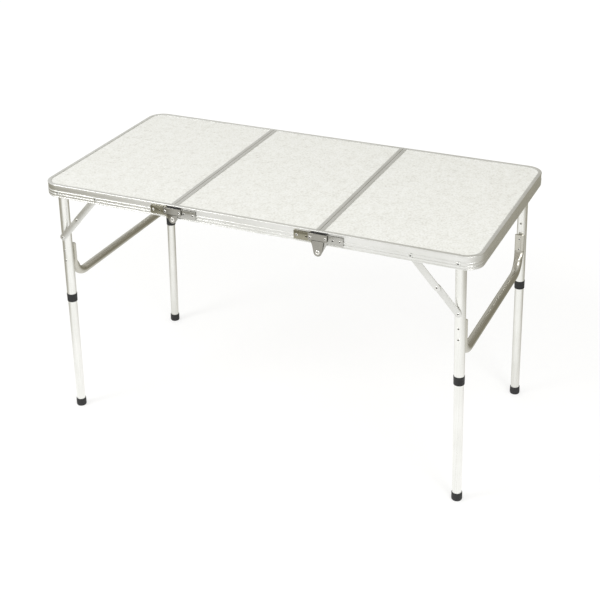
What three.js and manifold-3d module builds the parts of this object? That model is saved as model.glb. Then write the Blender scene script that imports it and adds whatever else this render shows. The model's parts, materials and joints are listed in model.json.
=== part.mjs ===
// Folding picnic table with three hinged panels and two folding leg frames.
// Units are millimetres, +Z is up, +X runs along the table and the feet stand on z = 0.
// The two outer panels fold under the middle one, the leg frames fold up under
// the outer panels, and the lower leg tubes slide up into the upper ones.

import * as THREE from 'three';
import { mergeVertices } from 'three/addons/utils/BufferGeometryUtils.js';
import Module from 'manifold-3d';

const wasm = await Module();
wasm.setup();
const { Manifold } = wasm;

// ---------------------------------------------------------------- driving dimensions

const TABLE = { length: 1200, width: 600, height: 700, cornerRadius: 45 };
const GAP = 0.2; // half of the gap between two panels, and the gap around a captured board
const SINK = 0.1; // how far a merged rivet or head reaches into its plate or tube
const SEAM_X = TABLE.length / 6;
const HALF_WIDTH = TABLE.width / 2;

// Depths are measured down from the top of the table, insets inward from its outer face.
const RAIL = {
  depth: 35,
  lip: 10,
  lipThickness: 1.2,
  wall: 2.6,
  ledge: 9,
  ledgeTop: 5,
  ledgeThickness: 1,
};
const BOARD = { thickness: 3.4, topDepth: 1.4, inset: 2.9 };
const SEAM_TAB = { length: 14, thickness: 1.5, bottomDepth: 31, reach: 4, root: 1.2, bite: 0.5, relief: 0.3 };

// The left panel folds first, so its pivot is just below the rails. The right panel
// folds under both of the others, so its pivot is half a panel lower.
const HINGE = {
  pivotDepth: { left: 35.5, right: 53.5 },
  leafLength: 65,
  leafTop: 7,
  leafBottom: 29,
  plate: 2,
  layer: { flat: 0.3, raised: 2.6, link: 4.9 },
  raisedLength: 18,
  joggle: 4,
  eyeRadius: 9.8,
  rivetAt: { outer: [57, 38], middle: [57, 31] },
  rivetDepth: 18,
};
const LINK = {
  halfBar: 25,
  bottom: 24,
  lipThickness: 1.5,
  flange: 0.8, // how far the top edge is rolled outward
  halfStop: 20, // the stop strip behind the bar's top edge
  stemHalf: 16,
  eyeRadius: 10.8,
  rivetX: 20,
};
const PIN = { radius: 4, clearance: 0.3, headRadius: 6, headHeight: 1.2, boreRadius: 2.2 };

const LEG = {
  pivotX: 550,
  pivotDepth: 21,
  inset: 25, // from the outer face of the rails to the middle of the tube
  splay: THREE.MathUtils.degToRad(1.75),
  upperRadius: 13.3,
  lowerRadius: 12.2,
  wall: 0.8,
  upperEnd: 316, // lengths along the leg are measured from its pivot
  lowerTop: 296,
  footTop: 657,
  notch: { depth: 10, width: 9.2 },
};
const COLLAR = {
  top: 311,
  lipTop: 331.5,
  bottom: 335,
  radius: 14.3,
  taper: 0.4, // the bottom is this much smaller in radius
  edge: 0.5,
  bore: 13.5,
  lipBore: 12.5,
};
const COLLET = { top: 316.3, bottom: 331.2, radius: 13.2, bore: 12.5, slit: 3 };
const FOOT = { radius: 14.2, topRadius: 13.8, bore: 12.4, floor: 6, chamfer: 1.5, flareTop: 8, edge: 0.6 };
const CROSS_BAR = {
  radius: 11.5,
  wall: 1.2,
  armTop: 165,
  depth: 267,
  bendRadius: 45,
  squash: 6.5, // the arm ends are pressed flat against the legs by this much,
  spread: 1.7, // which widens them by this much to each side,
  flatEnd: 210, // down to here,
  roundStart: 236, // and the tube is round again from here
};
const CROSS_BAR_RIVETS = [176, 206];

const STAY = {
  pivotX: 434,
  legRivet: 134,
  halfWidth: 9,
  thickness: 2,
  upperInset: 3.7,
  lowerInset: 7.2,
  rivetRadius: 3,
  headRadius: 4.5,
  washerRadius: 6,
  headHeight: 0.9,
};
const LEG_RIVET = { radius: 4, headRadius: 5.5, headHeight: 1.4, bushRadius: 6 };
const POP_RIVET = { radius: 3.4, height: 1.2 };

const TUBE_SIDES = 20;
const BAR_SIDES = 18;
const DISC_SIDES = 16;
const RIVET_SIDES = 8;
const CORNER_STEPS = 6;

// ---------------------------------------------------------------- materials

const metal = (color, roughness) =>
  new THREE.MeshStandardMaterial({ color, roughness, metalness: 0.9 });
const plastic = (color, roughness) =>
  new THREE.MeshStandardMaterial({ color, roughness, metalness: 0 });

const railAluminium = metal(0xc9cac8, 0.35);
const tubeAluminium = metal(0xcfcec8, 0.4);
const platedSteel = metal(0xa9a89c, 0.25);
const staySteel = metal(0xc4c5c2, 0.45);
const laminate = plastic(0xeeece4, 0.35);
const blackPlastic = plastic(0x1c1d1f, 0.5);
const blackRubber = plastic(0x202022, 0.75);

// ---------------------------------------------------------------- solids

function signedVolume(points, triangles) {
  const corner = (i) => new THREE.Vector3().fromArray(points, 3 * triangles[i]);
  let sum = 0;
  for (let i = 0; i < triangles.length; i += 3) {
    sum += corner(i).dot(corner(i + 1).cross(corner(i + 2)));
  }
  return sum / 6;
}

// A closed three.js geometry as a solid that faces outward.
function solidOf(geometry) {
  geometry.deleteAttribute('normal');
  geometry.deleteAttribute('uv');
  const merged = mergeVertices(geometry, 1e-4);
  const vertProperties = new Float32Array(merged.attributes.position.array);
  const corners = Array.from(merged.index.array);
  const isWhole = (i) =>
    corners[i] !== corners[i + 1] && corners[i + 1] !== corners[i + 2] && corners[i] !== corners[i + 2];
  const kept = corners.filter((_, i) => isWhole(i - (i % 3)));
  if (signedVolume(vertProperties, kept) < 0) {
    kept.reverse();
  }
  const triVerts = new Uint32Array(kept);
  return new Manifold(new wasm.Mesh({ numProp: 3, vertProperties, triVerts }));
}

function box(xMin, xMax, yMin, yMax, zMin, zMax) {
  const geometry = new THREE.BoxGeometry(xMax - xMin, yMax - yMin, zMax - zMin);
  geometry.translate((xMin + xMax) / 2, (yMin + yMax) / 2, (zMin + zMax) / 2);
  return solidOf(geometry);
}

// Turns [radius, height] points around the Y axis.
function turnedAboutY(points, sides) {
  const outline = points.map(([radius, height]) => new THREE.Vector2(radius, height));
  return solidOf(new THREE.LatheGeometry(outline, sides));
}

const turnedAboutZ = (points, sides) => turnedAboutY(points, sides).rotate([90, 0, 0]);

function discAboutY(radius, yMin, yMax, sides = RIVET_SIDES) {
  return turnedAboutY([[0, yMin], [radius, yMin], [radius, yMax], [0, yMax]], sides);
}

// A ring with a rectangular section around the Z axis, from one distance below the
// origin to another.
function ringAboutZ(outer, bore, top, bottom, sides = TUBE_SIDES) {
  return turnedAboutZ(
    [[bore, -bottom], [outer, -bottom], [outer, -top], [bore, -top], [bore, -bottom]],
    sides,
  );
}

// A low domed rivet head that stands on y = 0 and points towards -Y.
function rivetHead({ radius, height } = POP_RIVET) {
  return turnedAboutY(
    [[0, 0.3], [radius, 0.3], [radius, -0.35 * height], [0.65 * radius, -0.85 * height], [0, -height]],
    RIVET_SIDES,
  );
}

// Carries a closed section of [across, along] points through a row of frames. Each
// frame has an origin and the directions in which the section's two axes point.
function sweep(section, frames) {
  const points = frames.flatMap(({ origin, across, along }) =>
    section.flatMap(([a, b]) => origin.map((value, i) => value + a * across[i] + b * along[i])));
  const count = section.length;
  const last = (frames.length - 1) * count;
  const triangles = [];
  for (let start = 0; start < last; start += count) {
    for (let i = 0; i < count; i += 1) {
      const a = start + i;
      const b = start + ((i + 1) % count);
      triangles.push(a, b, a + count, b, b + count, a + count);
    }
  }
  const outline = section.map(([a, b]) => new THREE.Vector2(a, b));
  const isClockwise = THREE.ShapeUtils.isClockWise(outline);
  for (const face of THREE.ShapeUtils.triangulateShape(outline, [])) {
    const near = isClockwise ? face : [...face].reverse();
    const far = [...near].reverse().map((i) => i + last);
    triangles.push(...near, ...far);
  }
  const geometry = new THREE.BufferGeometry();
  geometry.setAttribute('position', new THREE.Float32BufferAttribute(points, 3));
  geometry.setIndex(triangles);
  return solidOf(geometry);
}

function mirrored(solid, xSign, ySign) {
  let result = solid;
  if (xSign < 0) {
    result = result.mirror([1, 0, 0]);
  }
  if (ySign < 0) {
    result = result.mirror([0, 1, 0]);
  }
  return result;
}

function meshOf(name, solid, material) {
  const { vertProperties, triVerts } = solid.getMesh();
  const geometry = new THREE.BufferGeometry();
  geometry.setAttribute('position', new THREE.Float32BufferAttribute(vertProperties, 3));
  geometry.setIndex(Array.from(triVerts));
  geometry.computeVertexNormals();
  const mesh = new THREE.Mesh(geometry, material);
  mesh.name = name;
  return mesh;
}

function groupAt(x, y, z) {
  const group = new THREE.Group();
  group.position.set(x, y, z);
  return group;
}

// ---------------------------------------------------------------- table top

// The deep edge rail: a lip over the board, three grooves between rounded ridges on
// its outer face, a ledge under the board and a bead along the bottom.
function railSection() {
  const { lip, lipThickness, wall, ledge, ledgeTop, ledgeThickness, depth } = RAIL;
  const groove = 1.5;
  const band = 0.9;
  const ridge = (top, bottom) => [[groove, top - 0.7], [0, top + 0.3], [0, bottom - 0.3], [groove, bottom + 0.7]];
  const ledgeBottom = ledgeTop + ledgeThickness;
  return [
    [lip, 0], [1, 0], [0.2, 0.9], [0.2, 2.6], [band, 3.4], [band, 15.2],
    ...ridge(17.4, 23.4),
    ...ridge(25.6, 30.6),
    [groove, 32], [0, 33], [0.6, depth],
    [3.3, depth], [3.3, 33], [wall, 32],
    [wall, ledgeBottom], [ledge, ledgeBottom], [ledge, ledgeTop], [wall, ledgeTop],
    [wall, lipThickness], [lip, lipThickness],
  ];
}

// The shallow channel that trims a panel edge at a seam.
function seamSection() {
  const { lip, lipThickness, wall, ledge, ledgeTop, ledgeThickness } = RAIL;
  const ledgeBottom = ledgeTop + ledgeThickness;
  return [
    [lip, 0], [0.8, 0], [0, 0.8], [0, ledgeBottom],
    [ledge, ledgeBottom], [ledge, ledgeTop], [wall, ledgeTop],
    [wall, lipThickness], [lip, lipThickness],
  ];
}

// A place on a rail's outer face in plan, with the direction in which that face looks.
const railFrame = (x, y, out) => ({ origin: [x, y, 0], across: [-out[0], -out[1], 0], along: [0, 0, -1] });

const holeThroughRail = (x, radius) =>
  discAboutY(radius, -HALF_WIDTH - 5, -HALF_WIDTH + 8, DISC_SIDES).translate([x, 0, -LEG.pivotDepth]);

// One length of rail bent around the three outer sides of an end panel.
function endRim() {
  const { cornerRadius, length } = TABLE;
  const corner = (centreY, startAngle) =>
    Array.from({ length: CORNER_STEPS + 1 }, (_, step) => {
      const angle = startAngle + (Math.PI / 2) * (step / CORNER_STEPS);
      const out = [Math.cos(angle), Math.sin(angle)];
      const centreX = length / 2 - cornerRadius;
      return railFrame(centreX + cornerRadius * out[0], centreY + cornerRadius * out[1], out);
    });
  const start = SEAM_X + GAP;
  let rim = sweep(railSection(), [
    railFrame(start, -HALF_WIDTH, [0, -1]),
    ...corner(-HALF_WIDTH + cornerRadius, -Math.PI / 2),
    ...corner(HALF_WIDTH - cornerRadius, 0),
    railFrame(start, HALF_WIDTH, [0, 1]),
  ]);
  for (const [x, shank] of [[LEG.pivotX, LEG_RIVET.radius], [STAY.pivotX, STAY.rivetRadius]]) {
    const hole = holeThroughRail(x, shank + GAP);
    rim = rim.subtract(hole).subtract(mirrored(hole, 1, -1));
  }
  return rim;
}

function middleRail() {
  return sweep(railSection(), [
    railFrame(-SEAM_X + GAP, -HALF_WIDTH, [0, -1]),
    railFrame(SEAM_X - GAP, -HALF_WIDTH, [0, -1]),
  ]);
}

// Seam rail along y with its closed edge at x = 0 and its channel open towards +X. A tab
// at each end is bent down against the inside of the side rail.
function seamRail() {
  const halfLength = HALF_WIDTH - RAIL.lip - 1.5 * GAP;
  const underside = RAIL.ledgeTop + RAIL.ledgeThickness;
  const tabOuter = HALF_WIDTH - RAIL.wall - 1.5 * GAP;
  const { length, thickness, bottomDepth, reach, root, bite, relief } = SEAM_TAB;
  const bracket = box(0, length, halfLength - reach, tabOuter, -underside - root, -underside)
    .subtract(box(-1, length + 1, halfLength, HALF_WIDTH, -underside - relief, -underside + 1))
    .add(box(0, RAIL.ledge, halfLength - reach, halfLength, -underside - bite, -underside + bite))
    .add(box(0, length, tabOuter - thickness, tabOuter, -bottomDepth, -underside - root / 2));
  return sweep(seamSection(), [
    railFrame(0, -halfLength, [-1, 0]),
    railFrame(0, halfLength, [-1, 0]),
  ]).add(bracket).add(mirrored(bracket, 1, -1));
}

// A board in the slots of its rails, with its outer corners rounded to follow the rim.
function board(xMin, xMax, cornerRadius) {
  const halfWidth = HALF_WIDTH - BOARD.inset;
  const outline = new THREE.Shape();
  outline.moveTo(xMin, halfWidth);
  outline.lineTo(xMin, -halfWidth);
  if (cornerRadius > 0) {
    outline.absarc(xMax - cornerRadius, -halfWidth + cornerRadius, cornerRadius, -Math.PI / 2, 0);
    outline.absarc(xMax - cornerRadius, halfWidth - cornerRadius, cornerRadius, 0, Math.PI / 2);
  } else {
    outline.lineTo(xMax, -halfWidth);
    outline.lineTo(xMax, halfWidth);
  }
  outline.closePath();
  const geometry = new THREE.ExtrudeGeometry(outline, {
    depth: BOARD.thickness,
    bevelEnabled: false,
    curveSegments: CORNER_STEPS / 2, // an arc gets twice this many sides
  });
  geometry.translate(0, 0, -BOARD.topDepth - BOARD.thickness);
  return solidOf(geometry);
}

// ---------------------------------------------------------------- seam hinges

// Hinge parts are drawn for the front of the right-hand seam: x = 0 is the seam, y = 0
// the outer face of the rails with the hinge towards -Y, and z = 0 the table top.

const layerBox = (layer, xMin, xMax, top, bottom) =>
  box(xMin, xMax, -layer - HINGE.plate, -layer, -bottom, -top);

const layerDisc = (layer, radius, depth) =>
  discAboutY(radius, -layer - HINGE.plate, -layer, DISC_SIDES).translate([0, 0, -depth]);

function ear(layer, xMin, xMax, baseBottom, radius, pivotDepth) {
  return Manifold.hull([
    layerBox(layer, xMin, xMax, baseBottom - 2, baseBottom),
    layerDisc(layer, radius, pivotDepth),
  ]);
}

const pinHole = (pivotDepth) =>
  discAboutY(PIN.radius + PIN.clearance, -20, 5, DISC_SIDES).translate([0, 0, -pivotDepth]);

const rivetsOnLeaf = (places, direction) =>
  places.map((x) =>
    rivetHead().translate([direction * x, -HINGE.layer.flat - HINGE.plate, -HINGE.rivetDepth]));

// The flat leaf on the outer panel, with its ear down to the pivot.
function outerLeaf(pivotDepth) {
  const { flat } = HINGE.layer;
  const strip = layerBox(flat, 2 * GAP, HINGE.leafLength, HINGE.leafTop, HINGE.leafBottom);
  return Manifold.union([
    strip,
    ear(flat, 2 * GAP, 24, HINGE.leafBottom, HINGE.eyeRadius, pivotDepth),
    ...rivetsOnLeaf(HINGE.rivetAt.outer, 1),
  ]).subtract(pinHole(pivotDepth));
}

// The leaf on the middle panel steps outward near the seam, so that its ear lies over
// the ear of the other leaf.
function middleLeaf(pivotDepth) {
  const { flat, raised } = HINGE.layer;
  const { plate, raisedLength, joggle, leafLength, leafTop, leafBottom } = HINGE;
  const outline = new THREE.Shape([
    new THREE.Vector2(-leafLength, flat),
    new THREE.Vector2(-raisedLength - joggle, flat),
    new THREE.Vector2(-raisedLength, raised),
    new THREE.Vector2(-2 * GAP, raised),
    new THREE.Vector2(-2 * GAP, raised + plate),
    new THREE.Vector2(-raisedLength - 1, raised + plate),
    new THREE.Vector2(-raisedLength - joggle - 1, flat + plate),
    new THREE.Vector2(-leafLength, flat + plate),
  ]);
  const geometry = new THREE.ExtrudeGeometry(outline, { depth: leafBottom - leafTop, bevelEnabled: false });
  const strip = solidOf(geometry).mirror([0, 1, 0]).translate([0, 0, -leafBottom]);
  return Manifold.union([
    strip,
    ear(raised, -raisedLength, -2 * GAP, leafBottom, HINGE.eyeRadius, pivotDepth),
    ...rivetsOnLeaf(HINGE.rivetAt.middle, -1),
  ]).subtract(pinHole(pivotDepth));
}

// The T-shaped link over both leaves. It carries the pin that both ears turn on, and
// the strip behind its top edge rests on the leaves when the table is open.
function hingeLink(pivotDepth) {
  const { link, flat } = HINGE.layer;
  const lipBottom = HINGE.leafTop - 1.5 * GAP;
  const lipTop = lipBottom - LINK.lipThickness;
  const outerFace = -link - HINGE.plate;
  const pin = turnedAboutY([
    [0, -flat - GAP], [PIN.radius, -flat - GAP], [PIN.radius, outerFace + 0.5],
    [PIN.headRadius, outerFace + 0.5], [PIN.headRadius, outerFace - 0.6 * PIN.headHeight],
    [PIN.radius, outerFace - PIN.headHeight], [PIN.boreRadius, outerFace - PIN.headHeight],
    [PIN.boreRadius, outerFace + 1], [0, outerFace + 1],
  ], DISC_SIDES).translate([0, 0, -pivotDepth]);
  const bore = discAboutY(PIN.boreRadius, outerFace - 3, outerFace + 1, DISC_SIDES)
    .translate([0, 0, -pivotDepth]);
  const studs = [-1, 1].map((side) =>
    rivetHead().translate([side * LINK.rivetX, outerFace, -(lipBottom + LINK.bottom) / 2]));
  return Manifold.union([
    layerBox(link, -LINK.halfBar, LINK.halfBar, lipTop, LINK.bottom),
    box(-LINK.halfBar, LINK.halfBar, outerFace - LINK.flange, outerFace + 1, -lipBottom, -lipTop),
    box(-LINK.halfStop, LINK.halfStop, -link - 1, -flat - 1.5 * GAP, -lipBottom, -lipTop),
    ear(link, -LINK.stemHalf, LINK.stemHalf, LINK.bottom, LINK.eyeRadius, pivotDepth),
    pin,
    ...studs,
  ]).subtract(bore);
}

// ---------------------------------------------------------------- legs

// Leg parts are drawn for the front leg of the right-hand frame: the origin is the leg's
// pivot, the leg runs down -Z and the outer side of the table is towards -Y.

function upperTube() {
  const { upperRadius, wall, upperEnd } = LEG;
  const roundedTop = discAboutY(upperRadius, -upperRadius - 5, upperRadius + 5, TUBE_SIDES)
    .add(box(-20, 20, -20, 20, -upperEnd - 1, 0));
  const heads = [
    ...CROSS_BAR_RIVETS.map((r) => rivetHead().translate([0, -upperRadius + SINK, -r])),
    rivetHead().mirror([0, 1, 0]).translate([0, upperRadius - SINK, -STAY.legRivet]),
  ];
  const bore = ringAboutZ(upperRadius - wall, 0, -30, upperEnd + 30);
  return ringAboutZ(upperRadius, 0, -upperRadius, upperEnd)
    .intersect(roundedTop)
    .add(Manifold.union(heads))
    .subtract(bore)
    .subtract(discAboutY(LEG_RIVET.radius + GAP, -40, 40, DISC_SIDES));
}

// The notch at the top lets the tube pass the leg rivet when it is pushed right in.
function lowerTube() {
  const { lowerRadius, wall, lowerTop, notch } = LEG;
  const bottom = legLength() - FOOT.floor;
  const tube = ringAboutZ(lowerRadius, lowerRadius - wall, lowerTop, bottom);
  const width = notch.width / 2;
  const opening = box(-width, width, -20, 20, -lowerTop - notch.depth, -lowerTop + 1);
  return tube.subtract(opening);
}

// The distance from the pivot to the floor along the splayed leg.
const legLength = () => (TABLE.height - LEG.pivotDepth) / Math.cos(LEG.splay);

// The twist collar turns on the end of the upper tube.
function collar() {
  const { top, lipTop, bottom, radius, taper, edge, bore, lipBore } = COLLAR;
  const lower = radius - taper;
  return turnedAboutZ([
    [bore, -top], [radius - edge, -top], [radius, -top - edge],
    [lower, -bottom + edge], [lower - edge, -bottom],
    [lipBore, -bottom], [lipBore, -lipTop], [bore, -lipTop], [bore, -top],
  ], TUBE_SIDES);
}

// The split ring inside the collar that grips the lower tube.
function collet() {
  const { top, bottom, radius, bore, slit } = COLLET;
  return ringAboutZ(radius, bore, top, bottom)
    .subtract(box(0, 20, -slit / 2, slit / 2, -bottom - 1, -top + 1));
}

// The foot is cut level with the floor, across the splayed leg.
function foot() {
  const { radius, topRadius, bore, floor, chamfer, flareTop, edge } = FOOT;
  const end = legLength();
  const cup = turnedAboutZ([
    [bore, -LEG.footTop], [topRadius - edge, -LEG.footTop], [topRadius, -LEG.footTop - edge],
    [radius, -end + flareTop], [radius, -end + 2 * chamfer], [radius - chamfer, -end + chamfer / 2],
    [radius - chamfer, -end - 2], [0, -end - 2],
    [0, -end + floor - GAP], [bore, -end + floor - GAP], [bore, -LEG.footTop],
  ], TUBE_SIDES);
  const up = [Math.sin(LEG.splay), 0, Math.cos(LEG.splay)];
  return cup.trimByPlane(up, -(TABLE.height - LEG.pivotDepth));
}

// The tube bent into a U that joins the two legs of a frame, its arms pressed flat on them.
function crossBar() {
  const { radius, wall, armTop, depth, bendRadius, squash, spread, flatEnd, roundStart } = CROSS_BAR;
  const armY = HALF_WIDTH - LEG.inset - LEG.upperRadius - 1.5 * GAP - radius;
  const frame = (y, below, angle) => (rodRadius) => {
    const share = Math.min(1, Math.max(0, (roundStart - below) / (roundStart - flatEnd)));
    const flat = share * share * (3 - 2 * share);
    const outward = [-Math.cos(angle), -Math.sin(angle)];
    const thickness = (rodRadius - squash * flat) / rodRadius;
    return {
      origin: [0, y + squash * flat * outward[0], -below + squash * flat * outward[1]],
      across: [(rodRadius + spread * flat) / rodRadius, 0, 0],
      along: [0, thickness * outward[0], thickness * outward[1]],
    };
  };
  const arm = (side, extra) => [armTop - extra, flatEnd, (flatEnd + depth - bendRadius) / 2].map(
    (below) => frame(side * armY, below, side < 0 ? 0 : Math.PI));
  const bend = (side) =>
    Array.from({ length: CORNER_STEPS + 1 }, (_, step) => {
      const angle = (Math.PI / 2) * (step / CORNER_STEPS + (side < 0 ? 0 : 1));
      return frame(
        side * (armY - bendRadius) - bendRadius * Math.cos(angle),
        depth - bendRadius + bendRadius * Math.sin(angle),
        angle,
      );
    });
  const bentRod = (rodRadius, sides, extra) => {
    const circle = Array.from({ length: sides }, (_, i) => {
      const angle = (2 * Math.PI * i) / sides;
      return [rodRadius * Math.sin(angle), rodRadius * Math.cos(angle)];
    });
    const frames = [...arm(-1, extra), ...bend(-1), ...bend(1), ...arm(1, extra).reverse()];
    return sweep(circle, frames.map((section) => section(rodRadius)));
  };
  const heads = Manifold.union(CROSS_BAR_RIVETS.map((r) =>
    rivetHead().mirror([0, 1, 0]).translate([0, radius - 2 * squash - armY - SINK, -r])));
  const overrun = 5;
  return bentRod(radius, BAR_SIDES, 0)
    .add(heads)
    .add(mirrored(heads, 1, -1))
    .subtract(bentRod(radius - wall, BAR_SIDES / 2, overrun));
}

// ---------------------------------------------------------------- stays

// The two stay links reach from the rail to the leg in a straight line when the table
// stands, and lie on top of each other along the rail when the legs are folded.
function stayGeometry() {
  const legX = LEG.pivotX + STAY.legRivet * Math.sin(LEG.splay);
  const drop = STAY.legRivet * Math.cos(LEG.splay);
  const span = Math.hypot(legX - STAY.pivotX, drop);
  const overlap = STAY.legRivet - (LEG.pivotX - STAY.pivotX);
  return {
    upperLength: (span + overlap) / 2,
    lowerLength: (span - overlap) / 2,
    slope: Math.atan2(drop, legX - STAY.pivotX),
  };
}

// A flat bar with round ends along +X, from the pivot at the origin.
function stayBar(length, inset) {
  const layer = inset - HALF_WIDTH;
  const end = discAboutY(STAY.halfWidth, layer, layer + STAY.thickness, DISC_SIDES);
  return Manifold.hull([end, end.translate([length, 0, 0])]);
}

const insetDisc = (radius, from, to) =>
  discAboutY(radius, from - HALF_WIDTH, to - HALF_WIDTH, RIVET_SIDES + 2);

// The upper link carries the rivet through the rail and the knee rivet.
function upperStay(length) {
  const { rivetRadius, headRadius, headHeight, washerRadius, upperInset, lowerInset, thickness } = STAY;
  const inner = upperInset + thickness - SINK;
  const lowerFace = lowerInset + thickness + GAP;
  const kneeRivet = Manifold.union([
    insetDisc(headRadius, upperInset - headHeight, upperInset + SINK),
    insetDisc(washerRadius, inner, lowerInset - GAP),
    insetDisc(rivetRadius, inner, lowerFace + SINK),
    insetDisc(headRadius, lowerFace, lowerFace + headHeight),
  ]).translate([length, 0, 0]);
  const railRivet = Manifold.union([
    insetDisc(LEG_RIVET.headRadius, -headHeight - SINK, -SINK),
    insetDisc(rivetRadius, -2 * SINK, upperInset + SINK),
    insetDisc(washerRadius, RAIL.wall + GAP, upperInset + SINK),
  ]);
  return Manifold.union([stayBar(length, upperInset), kneeRivet, railRivet]);
}

// The lower link carries the rivet into the leg, which stops just short of the tube.
function lowerStay(length) {
  const { rivetRadius, headRadius, lowerInset, thickness } = STAY;
  const inner = lowerInset + thickness;
  const legRivet = Manifold.union([
    rivetHead().translate([0, lowerInset - HALF_WIDTH, 0]),
    insetDisc(headRadius, inner - SINK, LEG.inset - LEG.upperRadius - 2 * GAP),
  ]).translate([length, 0, 0]);
  return stayBar(length, lowerInset)
    .subtract(insetDisc(rivetRadius + GAP, lowerInset - 1, inner + 1))
    .add(legRivet);
}

// The rivet that a leg turns on, with a bush between the rail and the leg.
function legRivet() {
  const { radius, headRadius, headHeight, bushRadius } = LEG_RIVET;
  const legOuter = LEG.inset - LEG.upperRadius;
  const legInner = LEG.inset + LEG.upperRadius;
  return turnedAboutY([
    [0, -headHeight], [0.6 * headRadius, -headHeight], [headRadius, -0.4 * headHeight],
    [headRadius, -SINK], [radius, -SINK], [radius, RAIL.wall + GAP],
    [bushRadius, RAIL.wall + GAP], [bushRadius, legOuter - GAP], [radius, legOuter - GAP],
    [radius, legInner + GAP], [headRadius, legInner + GAP],
    [headRadius, legInner + 0.7 * headHeight], [0.6 * headRadius, legInner + headHeight],
    [0, legInner + headHeight],
  ], DISC_SIDES).translate([0, -HALF_WIDTH, 0]);
}

// ---------------------------------------------------------------- assembly

const table = new THREE.Group();
const top = groupAt(0, 0, TABLE.height);
table.add(top);

const SIDES = [['left', -1], ['right', 1]];
const ENDS = [['front', 1], ['rear', -1]];

const middleHalf = SEAM_X - GAP - BOARD.inset;
top.add(meshOf('middle_board', board(-middleHalf, middleHalf, 0), laminate));
for (const [end, y] of ENDS) {
  top.add(meshOf(`middle_${end}_rail`, mirrored(middleRail(), 1, y), railAluminium));
}

for (const [side, x] of SIDES) {
  const endBoard = board(
    SEAM_X + GAP + BOARD.inset,
    TABLE.length / 2 - BOARD.inset,
    TABLE.cornerRadius - BOARD.inset,
  );
  top.add(meshOf(`${side}_board`, mirrored(endBoard, x, 1), laminate));
  top.add(meshOf(`${side}_end_rim`, mirrored(endRim(), x, 1), railAluminium));

  const seam = groupAt(x * SEAM_X, 0, 0);
  top.add(seam);
  const outerSeamRail = seamRail().translate([GAP, 0, 0]);
  seam.add(meshOf(`${side}_panel_seam_rail`, mirrored(outerSeamRail, x, 1), railAluminium));
  seam.add(meshOf(`middle_${side}_seam_rail`, mirrored(outerSeamRail, -x, 1), railAluminium));

  const pivotDepth = HINGE.pivotDepth[side];
  const hingeParts = [
    ['outer_leaf', outerLeaf(pivotDepth)],
    ['middle_leaf', middleLeaf(pivotDepth)],
    ['hinge_link', hingeLink(pivotDepth)],
  ];
  for (const [end, y] of ENDS) {
    for (const [part, solid] of hingeParts) {
      const placed = mirrored(solid.translate([0, -HALF_WIDTH, 0]), x, y);
      seam.add(meshOf(`${side}_${end}_${part}`, placed, platedSteel));
    }
  }

  const legFrame = groupAt(x * LEG.pivotX, 0, -LEG.pivotDepth);
  legFrame.rotation.y = -x * LEG.splay;
  top.add(legFrame);
  legFrame.add(meshOf(`${side}_cross_bar`, crossBar(), tubeAluminium));
  const legParts = [
    ['upper_leg', upperTube(), tubeAluminium],
    ['lower_leg', lowerTube(), tubeAluminium],
    ['leg_collar', collar(), blackPlastic],
    ['leg_collet', collet(), blackPlastic],
    ['foot', foot(), blackRubber],
  ];
  for (const [end, y] of ENDS) {
    for (const [part, solid, material] of legParts) {
      const placed = mirrored(solid.translate([0, LEG.inset - HALF_WIDTH, 0]), x, y);
      legFrame.add(meshOf(`${side}_${end}_${part}`, placed, material));
    }
  }

  const rivets = groupAt(x * LEG.pivotX, 0, -LEG.pivotDepth);
  top.add(rivets);
  const stay = stayGeometry();
  const upperLink = groupAt(x * STAY.pivotX, 0, -LEG.pivotDepth);
  upperLink.rotation.y = x * stay.slope;
  const lowerLink = groupAt(x * stay.upperLength, 0, 0);
  upperLink.add(lowerLink);
  top.add(upperLink);
  for (const [end, y] of ENDS) {
    rivets.add(meshOf(`${side}_${end}_leg_rivet`, mirrored(legRivet(), x, y), platedSteel));
    const upper = mirrored(upperStay(stay.upperLength), x, y);
    const lower = mirrored(lowerStay(stay.lowerLength), x, y);
    upperLink.add(meshOf(`${side}_${end}_upper_stay`, upper, staySteel));
    lowerLink.add(meshOf(`${side}_${end}_lower_stay`, lower, staySteel));
  }
}

export default table;
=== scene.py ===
"""The looks of a folding picnic table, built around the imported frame.

Every piece is drawn for the front right quarter and mirrored to the other corners.
Lengths are millimetres, and Shape.build turns them into metres.
"""
import json
import math

import bmesh
import bpy
from mathutils import Matrix, Vector


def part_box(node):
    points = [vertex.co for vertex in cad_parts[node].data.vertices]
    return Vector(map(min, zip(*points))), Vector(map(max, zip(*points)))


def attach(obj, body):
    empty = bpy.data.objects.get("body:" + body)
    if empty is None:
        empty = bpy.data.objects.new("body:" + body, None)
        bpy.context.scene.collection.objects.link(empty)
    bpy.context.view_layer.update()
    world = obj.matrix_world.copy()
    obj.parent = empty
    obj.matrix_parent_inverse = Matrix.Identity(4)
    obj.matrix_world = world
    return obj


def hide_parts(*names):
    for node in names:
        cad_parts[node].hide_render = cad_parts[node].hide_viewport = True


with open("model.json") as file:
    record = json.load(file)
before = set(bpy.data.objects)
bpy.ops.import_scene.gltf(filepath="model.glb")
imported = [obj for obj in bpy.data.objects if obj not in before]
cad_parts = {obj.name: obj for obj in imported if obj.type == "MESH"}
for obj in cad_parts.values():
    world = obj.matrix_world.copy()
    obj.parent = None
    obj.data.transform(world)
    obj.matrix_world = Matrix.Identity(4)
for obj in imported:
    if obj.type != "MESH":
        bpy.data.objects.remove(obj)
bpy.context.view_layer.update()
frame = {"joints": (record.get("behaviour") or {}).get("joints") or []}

# ---------------------------------------------------------------- from the frame

MM = 0.001
JOINTS = {joint["name"]: joint for joint in frame["joints"]}


def pivot(joint):
    return Vector(JOINTS[joint]["pos_m"]) / MM


def cad_box(node):
    low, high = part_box(node)
    return low / MM, high / MM


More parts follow.
